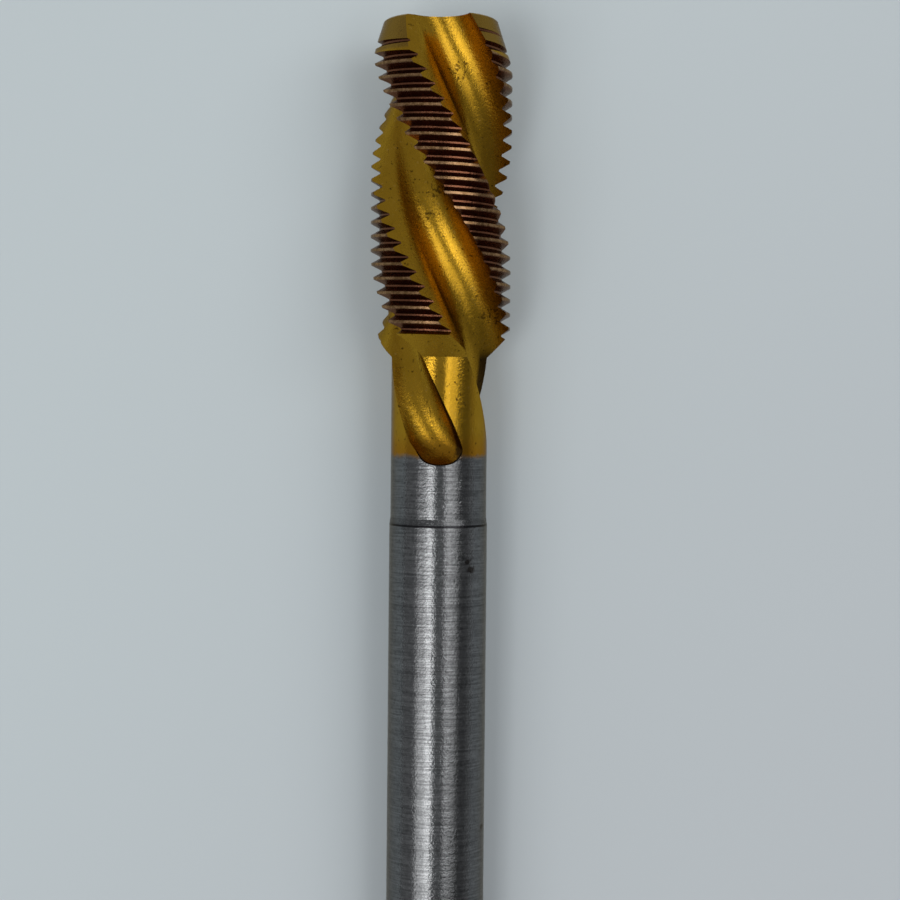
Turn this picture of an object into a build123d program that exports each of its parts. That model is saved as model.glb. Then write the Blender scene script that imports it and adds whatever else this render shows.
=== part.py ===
from build123d import *
from math import acos, atan, cos, degrees, radians, sin, sqrt, tan
import os

# Spiral-flute machine tap for an M10 x 1 thread, in millimetres.
# It is modelled standing on its shank with the tip face at Z = 0, and is laid
# down at the end. "Depth" is the distance down the axis from the tip face,
# and an angle about the axis is measured from -Y towards +X.

# ---- driving dimensions -------------------------------------------------
right_handed = False

thread_radius = 5.0
pitch = 1.0
flank_angle = 60.0
root_flat = 0.12
groove_front_depth = 0.03       # the groove crosses angle 0 here, and once a pitch

total_length = 75.0
thread_end = 22.15              # depth of the last full crest
back_cone_angle = 43.0
neck_radius = 3.43
neck_end = 35.25
shank_radius = 3.5
shank_start = 35.8
end_dome_radius = 4.6           # rounds the edge of the shank's end face
end_face_radius = 3.0

tip_radius = 4.05
tip_bevel = 0.1
lead_start_radius = 4.19
lead_angle = 18.0               # half angle of the lead cone
lead_relief = 0.21              # drop of the lead cone from cutting edge to heel

flute_count = 3
flute_lead = 44.9
edge_front_depth = 12.19        # a cutting edge crosses angle 0 here
flute_wheel_radius = 2.2        # round bottom and hooked cutting face
flute_wheel_center = 4.15       # its distance from the axis
flute_back_start = 49.0         # where the round bottom gives way to the back
land_angle = 44.5               # width of a land at the thread radius
straight_flute_end = 29.25
flute_turn_end = 30.55          # the last of the run-out goes straight down
runout_radius = 2.4

square_across_flats = 5.5
square_length = 8.0
square_turn = 17.0              # brings a corner down to where it stops the tap rolling

tip_center_radius = 0.9
tip_pilot_radius = 0.45
end_center_radius = 1.5
end_pilot_radius = 0.75
pilot_depth = 2.4
center_angle = 60.0

# ---- derived sizes ------------------------------------------------------
thread_root_radius = thread_radius - 0.6134 * pitch
twist = 360 / flute_lead
end_dome_length = sqrt(end_dome_radius**2 - end_face_radius**2) - sqrt(
    end_dome_radius**2 - shank_radius**2
)
lead_slope = tan(radians(lead_angle))
lead_end = tip_bevel + (thread_radius - lead_start_radius) / lead_slope
back_cone_end = thread_end + (thread_radius - neck_radius) / tan(radians(back_cone_angle))


def edge_angle(depth):
    """Angle about the axis of the first land's cutting edge."""
    return twist * (depth - edge_front_depth)


# ---- flute: one section turned down the helix, then lifted clear --------
# The section is drawn with the flute opening upwards, cutting face on the left.
core_radius = flute_wheel_center - flute_wheel_radius
edge_height = (
    thread_radius**2 + flute_wheel_center**2 - flute_wheel_radius**2
) / (2 * flute_wheel_center)
edge_to_middle = degrees(acos(edge_height / thread_radius))


def wheel_point(angle):
    """Point of the round bottom, by its angle from the deepest point."""
    across = flute_wheel_radius * sin(radians(angle))
    return Vector(across, flute_wheel_center - flute_wheel_radius * cos(radians(angle)))


face_top = wheel_point(-115)
bottom = wheel_point(0)
back_foot = wheel_point(flute_back_start)
heel_angle = 360 / flute_count - land_angle - edge_to_middle
heel = Vector(thread_radius * sin(radians(heel_angle)), thread_radius * cos(radians(heel_angle)))
back_end = heel + Vector(1.0, 0)
back_tangents = [(cos(radians(flute_back_start)), sin(radians(flute_back_start))), (1, 0)]
roof_height = thread_radius + 0.6

runout_depth = neck_radius - core_radius + 0.15
runout_length = sqrt(runout_radius**2 - (runout_radius - runout_depth) ** 2)

straight_steps = 16
flute_stations = []
for step in range(straight_steps + 1):
    flute_stations.append((-1 + (straight_flute_end + 1) * step / straight_steps, 0))
for share in (0.3, 0.55, 0.75, 0.9, 1.0):
    along = share * runout_length
    lift = runout_radius - sqrt(runout_radius**2 - along**2)
    flute_stations.append((straight_flute_end + along, lift))

with BuildPart() as flute:
    for depth, lift in flute_stations:
        middle = edge_angle(min(depth, flute_turn_end)) - edge_to_middle
        rise = Vector(0, lift)
        with BuildSketch(Plane.XY.offset(-depth).rotated((0, 0, 180 + middle))):
            with BuildLine():
                ThreePointArc(face_top + rise, bottom + rise, back_foot + rise)
                Spline(back_foot + rise, back_end + rise, tangents=back_tangents)
                Polyline(
                    back_end + rise,
                    (back_end.X, roof_height + lift),
                    (face_top.X, roof_height + lift),
                    face_top + rise,
                )
            make_face()
    loft()

# ---- thread groove: the arc of one turn that crosses one land -----------
groove_height = 0.75 * pitch
groove_half_width = root_flat / 2 + groove_height * tan(radians(flank_angle / 2))
groove_arc_angle = 96
groove_arc_rise = pitch * groove_arc_angle / 360

with BuildPart() as groove_arc:
    with BuildLine(Plane.XY.offset(-groove_arc_rise / 2)) as crossing:
        Helix(pitch, groove_arc_rise, thread_root_radius, lefthand=True)
    across = Plane(origin=crossing.line @ 0, x_dir=(1, 0, 0), z_dir=crossing.line % 0)
    with BuildSketch(across):
        with BuildLine():
            Polyline(
                (0, -root_flat / 2),
                (groove_height, -groove_half_width),
                (groove_height, groove_half_width),
                (0, root_flat / 2),
                close=True,
            )
        make_face()
    sweep(path=crossing.line, is_frenet=True)

# The lands turn as they go down, so the groove meets the next one a little
# after a third of a turn.
turn_gain = 1 - twist * pitch / 360
crossing_step = 360 / flute_count / turn_gain
first_crossing = (edge_angle(groove_front_depth) + land_angle / 2) / turn_gain
crossings = []
number = 0
while groove_front_depth + pitch * (first_crossing + number * crossing_step) / 360 < back_cone_end:
    angle = first_crossing + number * crossing_step
    depth = groove_front_depth + pitch * angle / 360
    crossings.append(Location((0, 0, -depth), (0, 0, angle + groove_arc_angle / 2 - 90)))
    number += 1

# ---- relief of one land's lead: the space round an off-centre cone ------
relief_offset = lead_relief * sqrt(2)
lead_middle_angle = edge_angle(lead_end / 2)
relief_axis = Vector(0, -relief_offset).rotate(Axis.Z, lead_middle_angle - 45)
relief_start = lead_middle_angle - 36
relief_plane = Plane(
    origin=relief_axis,
    x_dir=Vector(0, -1).rotate(Axis.Z, relief_start),
    z_dir=Vector(-1, 0).rotate(Axis.Z, relief_start),
)
ring_outside = thread_radius + 1
ring_bottom = tip_bevel + (ring_outside - lead_start_radius + lead_relief) / lead_slope

with BuildPart() as relief:
    with BuildSketch(relief_plane):
        with BuildLine():
            Polyline(
                (tip_radius - lead_relief - 1, 1),
                (tip_radius - lead_relief, 0),
                (lead_start_radius - lead_relief, -tip_bevel),
                (ring_outside, -ring_bottom),
                (ring_outside, 1),
                close=True,
            )
        make_face()
    revolve(axis=Axis(relief_axis, (0, 0, 1)), revolution_arc=360 / flute_count)

# ---- tap ----------------------------------------------------------------
with BuildPart() as tap:
    with BuildSketch(Plane.XZ):
        with BuildLine():
            Polyline(
                (0, 0),
                (tip_radius, 0),
                (lead_start_radius, -tip_bevel),
                (thread_radius, -lead_end),
                (thread_radius, -thread_end),
                (neck_radius, -back_cone_end),
                (neck_radius, -neck_end),
                (shank_radius, -shank_start),
                (shank_radius, -total_length + end_dome_length),
            )
            RadiusArc(
                (shank_radius, -total_length + end_dome_length),
                (end_face_radius, -total_length),
                end_dome_radius,
            )
            Polyline((end_face_radius, -total_length), (0, -total_length), (0, 0))
        make_face()
    revolve(axis=Axis.Z)

    with PolarLocations(0, flute_count):
        add(relief.part, mode=Mode.SUBTRACT)
    with PolarLocations(0, flute_count):
        add(flute.part, mode=Mode.SUBTRACT)

    with Locations(*crossings):
        add(groove_arc.part, mode=Mode.SUBTRACT)

    with BuildSketch(Plane.XY.offset(-total_length).rotated((0, 0, square_turn))):
        Circle(2 * shank_radius)
        Rectangle(square_across_flats, square_across_flats, mode=Mode.SUBTRACT)
    extrude(amount=square_length, mode=Mode.SUBTRACT)

    with Locations(Location((0, 0, 0), (0, 0, 0))):
        CounterSinkHole(tip_pilot_radius, tip_center_radius, pilot_depth, center_angle)
    with Locations(Location((0, 0, -total_length), (180, 0, 0))):
        CounterSinkHole(end_pilot_radius, end_center_radius, pilot_depth, center_angle)

# ---- laid down: it rests on a full crest and on the end of the shank ----
crest_contact = 19.83
shank_contact = total_length - square_length
lean = degrees(atan((thread_radius - shank_radius) / (shank_contact - crest_contact)))
tip_height = crest_contact * sin(radians(lean)) + thread_radius * cos(radians(lean))
half_length = total_length / 2 * cos(radians(lean))

with BuildPart() as thread_tap:
    with Locations(Location((0, half_length, tip_height), (lean - 90, 0, 0))):
        add(tap.part)
    if right_handed:
        mirror(about=Plane.YZ, mode=Mode.REPLACE)

thread_tap.part.label = "thread_tap"

os.makedirs("parts", exist_ok=True)
export_step(thread_tap.part, "parts/thread_tap.step")
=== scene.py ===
from math import atan, cos, pi, radians, sin, tan

import bpy
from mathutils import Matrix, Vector

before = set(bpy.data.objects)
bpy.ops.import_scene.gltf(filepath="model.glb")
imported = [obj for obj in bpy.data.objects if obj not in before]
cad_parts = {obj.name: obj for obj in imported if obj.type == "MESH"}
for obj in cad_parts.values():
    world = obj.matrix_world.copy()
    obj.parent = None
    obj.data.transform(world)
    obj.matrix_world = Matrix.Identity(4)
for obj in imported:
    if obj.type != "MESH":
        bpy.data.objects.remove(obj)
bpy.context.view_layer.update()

MM = 0.001

# ---- the tap's own frame, from the same driving sizes as the CAD (mm) ----
TOTAL_LENGTH = 75.0
THREAD_RADIUS = 5.0
THREAD_ROOT_RADIUS = 4.387
THREAD_END = 22.15
NECK_RADIUS = 3.43
NECK_END = 35.25
SHANK_RADIUS = 3.5
SHANK_START = 35.8
SQUARE_LENGTH = 8.0
CREST_CONTACT = 19.83
LEAD_END = 2.6
COATING_END = 30.75             # the gold stops here on the round neck
FLUTE_END = 33.2                # and here in the flutes' run-outs

LEAN = atan((THREAD_RADIUS - SHANK_RADIUS) / (TOTAL_LENGTH - SQUARE_LENGTH - CREST_CONTACT))
TIP = Vector((
    0,
    TOTAL_LENGTH / 2 * cos(LEAN),
    CREST_CONTACT * sin(LEAN) + THREAD_RADIUS * cos(LEAN),
))
DOWN_AXIS = Vector((0, -cos(LEAN), -sin(LEAN)))
UPWARDS = Vector((0, -sin(LEAN), cos(LEAN)))


# ---- small helpers for node graphs ---------------------------------------
class Graph:
    """Adds nodes to one material, or to the world, and wires them up."""

    def __init__(self, owner):
        owner.use_nodes = True
        self.tree = owner.node_tree
        self.tree.nodes.clear()

    def node(self, kind, inputs=None, **settings):
        made = self.tree.nodes.new(kind)
        for name, value in settings.items():
            setattr(made, name, value)
        for name, value in (inputs or {}).items():
            self.feed(made.inputs[name], value)
        return made

    def feed(self, socket, value):
        if isinstance(value, bpy.types.NodeSocket):
            self.tree.links.new(value, socket)
        else:
            socket.default_value = value

    def math(self, operation, *values, clamp=False):
        made = self.node("ShaderNodeMath", operation=operation, use_clamp=clamp)
        for socket, value in zip(made.inputs, values):
            self.feed(socket, value)
        return made.outputs[0]

    def dot(self, vector, direction):
        made = self.node("ShaderNodeVectorMath", operation="DOT_PRODUCT")
        self.feed(made.inputs[0], vector)
        made.inputs[1].default_value = direction
        return made.outputs["Value"]

    def between(self, value, low, high, at_low=0.0, at_high=1.0):
        """A smooth step from at_low to at_high as value goes from low to high."""
        made = self.node("ShaderNodeMapRange", interpolation_type="SMOOTHSTEP")
        for socket, item in zip(made.inputs, (value, low, high, at_low, at_high)):
            self.feed(socket, item)
        return made.outputs[0]

    def noise(self, vector, scale, detail=2.0, roughness=0.5):
        made = self.node("ShaderNodeTexNoise", {
            "Vector": vector, "Scale": scale, "Detail": detail, "Roughness": roughness})
        return made.outputs["Fac"]

    def stretched_noise(self, vector, scales, detail, roughness):
        """Noise with its own scale along X, Y and Z."""
        made = self.node("ShaderNodeVectorMath", {0: vector}, operation="MULTIPLY")
        made.inputs[1].default_value = scales
        return self.noise(made.outputs[0], 1.0, detail, roughness)

    def mix(self, share, first, second):
        made = self.node("ShaderNodeMix", data_type="RGBA")
        self.feed(made.inputs[0], share)
        self.feed(made.inputs[6], first)
        self.feed(made.inputs[7], second)
        return made.outputs[2]

    def place(self):
        """Place from the tip in mm: as a vector, across, up, down the axis and off it."""
        coords = self.node("ShaderNodeTexCoord").outputs["Object"]
        shifted = self.node("ShaderNodeVectorMath", operation="MULTIPLY_ADD")
        self.feed(shifted.inputs[0], coords)
        shifted.inputs[1].default_value = (1 / MM,) * 3
        shifted.inputs[2].default_value = -TIP
        local = shifted.outputs[0]
        across = self.dot(local, (1, 0, 0))
        up = self.dot(local, UPWARDS)
        depth = self.dot(local, DOWN_AXIS)
        radius = self.math("SQRT", self.math("ADD", self.math("MULTIPLY", across, across),
                                             self.math("MULTIPLY", up, up)))
        return local, across, up, depth, radius

    def facing(self, local, depth, radius):
        """How far the surface faces down the axis, away from it, and round it."""
        normal = self.node("ShaderNodeNewGeometry").outputs["True Normal"]
        along = self.dot(normal, DOWN_AXIS)
        from_tip = self.node("ShaderNodeVectorMath", {0: normal, 1: local}, operation="DOT_PRODUCT")
        away = self.math("SUBTRACT", from_tip.outputs["Value"], self.math("MULTIPLY", along, depth))
        turned = self.node("ShaderNodeVectorMath", {1: local}, operation="CROSS_PRODUCT")
        turned.inputs[0].default_value = DOWN_AXIS
        sideways = self.node("ShaderNodeVectorMath", {0: normal, 1: turned.outputs[0]},
                             operation="DOT_PRODUCT")
        return (along, self.math("DIVIDE", away, radius),
                self.math("DIVIDE", sideways.outputs["Value"], radius))


def linear(red, green, blue):
    """Colour from 0-255 screen values."""
    def one(value):
        share = value / 255
        return share / 12.92 if share <= 0.04045 else ((share + 0.055) / 1.055) ** 2.4
    return (one(red), one(green), one(blue), 1.0)


# ---- ground steel with a gold coating on the cutting end ------------------
# Marks and worn patches are given as across, depth and size, in mm.
MARKS = ((2.35, 38.75, 0.34), (2.1, 38.2, 0.24), (3.32, 57.3, 0.2))
WORN_PATCHES = ((-0.77, 13.9, 0.5), (3.6, 20.9, 0.9), (1.2, 3.6, 1.0), (-0.3, 12.2, 0.8))
FAINT_RING = 41.4

GOLD = (linear(152, 116, 27), linear(173, 133, 39))
GOLD_SCUFFED = linear(206, 168, 92)
GOLD_HEATED = linear(150, 96, 22)       # towards the end of the coating
GOLD_STEEP_SHADE = linear(110, 66, 14)        # painted shade where the surface hardly faces outwards, on the flutes' walls
GOLD_PITTED = linear(56, 34, 10)
GOLD_LEAD = linear(122, 95, 48)
# painted shade for the flanks and roots, dark in the grooves
THREAD_GROOVE_SHADE = (linear(82, 46, 34), linear(128, 86, 62))
WORN_CREST = (linear(104, 78, 60), linear(150, 118, 92))
STEEL = (linear(80, 81, 82), linear(120, 121, 122))
STEEL_PITTED = linear(46, 46, 46)
STEEL_RING = linear(40, 40, 42)
# dark colour of the marks, and painted shade on the flutes' rims
STAIN_AND_SHADE = linear(34, 26, 20)
EDGE_TINT = (0.66, 0.62, 0.56, 1.0)     # tints what both metals reflect at a glancing angle
GRAIN_HEIGHT = 0.00003                  # m


def near(g, value, centre, half_width, soft):
    """1 within half_width of centre, and 0 a little further off."""
    off = g.math("ABSOLUTE", g.math("SUBTRACT", value, centre))
    return g.between(off, half_width, half_width + soft, 1.0, 0.0)


def patches(g, places, across, up, depth, ragged):
    """1 on these places of the upper side, with a ragged edge."""
    total = 0.0
    for place_across, place_depth, size in places:
        sideways = g.math("SUBTRACT", across, place_across)
        along = g.math("SUBTRACT", depth, place_depth)
        off = g.math("SQRT", g.math("ADD", g.math("MULTIPLY", sideways, sideways),
                                    g.math("MULTIPLY", along, along)))
        total = g.math("MAXIMUM", total,
                       g.between(g.math("ADD", off, ragged), size * 0.4, size, 1.0, 0.0))
    return g.math("MULTIPLY", total, g.between(up, 0.0, 0.5))


def tap_material():
    material = bpy.data.materials.new("ground_steel_gold_coated")
    g = Graph(material)
    local, across, up, depth, radius = g.place()
    along, outwards, sideways = g.facing(local, depth, radius)

    # the coating, with a slightly uneven edge
    uneven = g.math("MULTIPLY", g.math("SUBTRACT", g.noise(local, 1.6, 4.0), 0.5), 0.6)
    on_round = g.between(g.math("ADD", depth, uneven), COATING_END - 0.15, COATING_END + 0.3, 1.0, 0.0)
    flute_wall = g.between(radius, NECK_RADIUS - 0.07, NECK_RADIUS - 0.04, 1.0, 0.0)
    in_flute = g.math("MULTIPLY", flute_wall, g.between(depth, FLUTE_END, FLUTE_END + 0.2, 1.0, 0.0))
    gold_share = g.math("MAXIMUM", on_round, in_flute)
    steep_shade = g.between(outwards, 0.1, 0.5, 1.0, 0.0)

    # painted shade: a dark rim round the flutes' ends and along their cutting side on the neck
    rim = g.math("MULTIPLY", near(g, radius, NECK_RADIUS - 0.09, 0.05, 0.04),
                 g.between(outwards, 0.995, 0.985))
    rim = g.math("MULTIPLY", rim, near(g, depth, (COATING_END + FLUTE_END) / 2, 1.4, 0.4))
    cutting_side = g.math("MULTIPLY", g.between(sideways, 0.5, 0.8), g.between(radius, 2.7, 3.0))
    cutting_side = g.math("MULTIPLY", cutting_side, g.between(depth, 23, 24))
    rim = g.math("MAXIMUM", rim, g.math("MULTIPLY", cutting_side, 0.85))

    # thread: flanks and roots painted dark as shade in the grooves, crests worn light
    flank = g.math("MULTIPLY", g.between(g.math("ABSOLUTE", along), 0.7, 0.8),
                   g.between(radius, 4.2, 4.3))
    root = g.math("MULTIPLY", near(g, radius, THREAD_ROOT_RADIUS, 0.05, 0.03),
                  g.between(outwards, 0.965, 0.98))
    before_cone = g.between(depth, THREAD_END - 0.1, THREAD_END + 0.1, 1.0, 0.0)
    groove_shade = g.math("MULTIPLY", g.math("MAXIMUM", flank, root), before_cone)
    groove_shade = g.math("MULTIPLY", groove_shade, g.between(depth, 0.3, 0.5))
    crest = g.math("MULTIPLY", g.between(radius, THREAD_RADIUS - 0.09, THREAD_RADIUS - 0.03), before_cone)
    lead = g.math("MULTIPLY", g.between(depth, LEAD_END - 0.3, LEAD_END, 1.0, 0.0),
                  g.between(radius, 3.85, 4.0))
    lead = g.math("MULTIPLY", lead, g.between(outwards, 0.85, 0.93))

    # the round neck and shank are ground, and shine more than the rest
    behind_thread = g.between(depth, THREAD_END, THREAD_END + 1)
    ground = g.math("MULTIPLY", g.between(outwards, 0.99, 0.998), behind_thread)

    # wear: mottling, ragged patches and small pits
    mottle = g.noise(local, 3.5, 4.0, 0.7)
    ragged = g.math("MULTIPLY", g.math("SUBTRACT", g.noise(local, 4.0, 3.0), 0.5), 0.5)
    worn = patches(g, WORN_PATCHES, across, up, depth, ragged)
    pits = g.math("MULTIPLY_ADD", worn, 0.13, g.noise(local, 3.6, 3.0, 0.6))
    specks = g.between(pits, 0.64, 0.68)

    # gold, from the plain coating to what lies over it
    cloud = g.noise(local, 0.8, 3.0, 0.6)
    gold = g.mix(cloud, *GOLD)
    scuffs = g.between(g.noise(local, 2.6, 4.0, 0.75), 0.6, 0.72)
    gold = g.mix(g.math("MULTIPLY", scuffs, 0.5), gold, GOLD_SCUFFED)
    heat = g.between(depth, COATING_END - 2.0, COATING_END)
    gold = g.mix(g.math("MULTIPLY", heat, 0.6), gold, GOLD_HEATED)
    # painted shade where the surface hardly faces outwards
    gold = g.mix(g.math("MULTIPLY", steep_shade, 0.25), gold, GOLD_STEEP_SHADE)
    gold = g.mix(g.math("MULTIPLY", specks, 0.75), gold, GOLD_PITTED)
    gold = g.mix(g.math("MULTIPLY", lead, 0.7), gold, GOLD_LEAD)
    # painted shade in the grooves between the crests
    gold = g.mix(groove_shade, gold, g.mix(mottle, *THREAD_GROOVE_SHADE))
    worn_crest = g.mix(g.between(mottle, 0.4, 0.6), *WORN_CREST)
    gold = g.mix(g.math("MULTIPLY", crest, 0.85), gold, worn_crest)

    # steel, with fine grinding lines round the shank and a dark line at the step
    grinding = g.stretched_noise(local, (0.4, 8.0, 0.4), 2.0, 0.7)
    streaks = g.between(g.math("MULTIPLY_ADD", grinding, 0.6, g.math("MULTIPLY", mottle, 0.4)), 0.3, 0.7)
    steel = g.mix(streaks, *STEEL)
    steel = g.mix(g.math("MULTIPLY", specks, 0.5), steel, STEEL_PITTED)
    step_line = near(g, depth, SHANK_START - 0.06, 0.05, 0.06)
    faint_ring = g.math("MULTIPLY", near(g, depth, FAINT_RING, 0.03, 0.05), 0.4)
    step_cone = g.math("MULTIPLY", near(g, depth, (NECK_END + SHANK_START) / 2, 0.27, 0.04), 0.3)
    rings = g.math("MAXIMUM", g.math("MAXIMUM", step_line, step_cone), faint_ring)
    steel = g.mix(rings, steel, STEEL_RING)

    base = g.mix(gold_share, steel, gold)
    marks = g.math("MULTIPLY", patches(g, MARKS, across, up, depth, ragged), 0.8)
    # painted shade on the rims, and the real marks, in one dark colour
    base = g.mix(g.math("MAXIMUM", rim, marks), base, STAIN_AND_SHADE)

    # gloss and grain: scratches on what isn't ground, and hardly any grain on the crests
    roughness = g.math("MULTIPLY_ADD", ground, -0.1, 0.26)
    roughness = g.math("ADD", roughness, g.math("MULTIPLY", g.math("SUBTRACT", mottle, 0.5), 0.2))
    scratches = g.stretched_noise(local, (9.0, 2.5, 9.0), 3.0, 0.7)
    grain = g.noise(local, 6.0, 2.0, 0.65)
    height = g.node("ShaderNodeMix", {
        0: ground, 2: g.math("MULTIPLY_ADD", scratches, 0.4, g.math("MULTIPLY", grain, 0.5)),
        3: g.math("MULTIPLY", grain, g.math("MULTIPLY_ADD", gold_share, -0.25, 0.6))})
    height = g.math("MULTIPLY", height.outputs[0], g.math("MULTIPLY_ADD", crest, -0.8, 1.0))
    bump = g.node("ShaderNodeBump", {"Height": height, "Strength": 1.0, "Distance": GRAIN_HEIGHT})

    shader = g.node("ShaderNodeBsdfPrincipled", {
        "Base Color": base, "Metallic": 1.0, "Roughness": roughness,
        "Specular Tint": EDGE_TINT, "Normal": bump.outputs[0]})
    g.node("ShaderNodeOutputMaterial", {"Surface": shader.outputs[0]})
    return material


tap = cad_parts["thread_tap"]
tap.data.materials.clear()
tap.data.materials.append(tap_material())


# ---- floor ------------------------------------------------------------------
FLOOR_SIZE = 3.0                        # m
LOWER_RIGHT = (0.7, -0.7, 0)            # the shaded side of the paper
PAPER_BRIGHT = linear(204, 214, 217)
PAPER_SHADED = linear(194, 200, 204)
PAPER_CLOUD = linear(208, 213, 215)
# painted light: the paper far off is painted lighter, where the lamps light it less
PAPER_FAR_PAINTED_LIGHT = linear(222, 227, 229)


def floor_material():
    material = bpy.data.materials.new("pale_paper")
    g = Graph(material)
    coords = g.node("ShaderNodeTexCoord").outputs["Object"]
    cloud = g.noise(coords, 25.0, 3.0)
    shaded = g.between(g.dot(coords, LOWER_RIGHT), -0.04, 0.05)
    colour = g.mix(shaded, PAPER_BRIGHT, PAPER_SHADED)
    colour = g.mix(g.math("MULTIPLY", cloud, 0.2), colour, PAPER_CLOUD)
    distance = g.node("ShaderNodeVectorMath", {0: coords}, operation="LENGTH").outputs["Value"]
    # painted light towards the far edges of the paper
    colour = g.mix(g.between(distance, 0.2, 1.3), colour, PAPER_FAR_PAINTED_LIGHT)
    shader = g.node("ShaderNodeBsdfPrincipled", {"Base Color": colour, "Roughness": 0.9})
    g.node("ShaderNodeOutputMaterial", {"Surface": shader.outputs[0]})
    return material


bpy.ops.mesh.primitive_plane_add(size=FLOOR_SIZE, location=(0, 0, 0))
floor = bpy.context.object
floor.name = "floor"
floor.data.materials.append(floor_material())


# ---- light --------------------------------------------------------------------
CEILING = 0.8                           # height of the lamps, m
ROOM = (0.36, 0.37, 0.38, 1)
ROOM_DIM = (0.17, 0.175, 0.18, 1)
DIM_DIRECTION = (0.77, -0.64, 0)        # the darker side of the room
OVERHEAD = (0, 0, 1)


def panel(name, across, along, brightness):
    """A soft lamp level overhead, between two angles off the vertical each way."""
    left, right = (CEILING * tan(radians(angle)) for angle in across)
    near_end, far_end = (CEILING * tan(radians(angle)) for angle in along)
    lamp = bpy.data.lights.new(name, "AREA")
    lamp.shape = "RECTANGLE"
    lamp.size = right - left
    lamp.size_y = far_end - near_end
    lamp.energy = brightness * pi * lamp.size * lamp.size_y
    made = bpy.data.objects.new(name, lamp)
    made.location = ((left + right) / 2, (near_end + far_end) / 2, CEILING)
    bpy.context.scene.collection.objects.link(made)


panel("left_key", (-26, -11), (-25, 0), 4.3)
panel("left_wide", (-48, -19), (-42, -6), 1.9)
panel("right_key", (18, 29), (-18, 8), 2.0)
panel("right_wide", (12, 56), (6, 28), 2.5)
panel("right_low", (18, 46), (-22, 6), 1.1)

world = bpy.data.worlds.new("room")
bpy.context.scene.world = world
room = Graph(world)
direction = room.node("ShaderNodeTexCoord").outputs["Generated"]
dim_side = room.math("MULTIPLY", room.between(room.dot(direction, DIM_DIRECTION), 0.15, 0.7),
                     room.between(room.dot(direction, OVERHEAD), 0.1, 0.35))
background = room.node("ShaderNodeBackground", {
    "Color": room.mix(dim_side, ROOM, ROOM_DIM), "Strength": 1.0})
room.node("ShaderNodeOutputWorld", {"Surface": background.outputs[0]})

# ---- camera -------------------------------------------------------------------
CAMERA_PLACE = Vector((0.8, 7.05, 145.0)) * MM
FOCAL_PIXELS = 1960
PICTURE_PIXELS = 900
ROLL = 0.55                             # degrees
SENSOR_WIDTH = 36.0

camera_data = bpy.data.cameras.new("camera")
camera_data.sensor_width = SENSOR_WIDTH
camera_data.lens = FOCAL_PIXELS / PICTURE_PIXELS * SENSOR_WIDTH
camera_data.clip_start = 0.01
camera = bpy.data.objects.new("camera", camera_data)
camera.location = CAMERA_PLACE
camera.rotation_euler = (0, 0, radians(ROLL))
bpy.context.scene.collection.objects.link(camera)
bpy.context.scene.camera = camera

bpy.context.scene.view_settings.view_transform = "Standard"
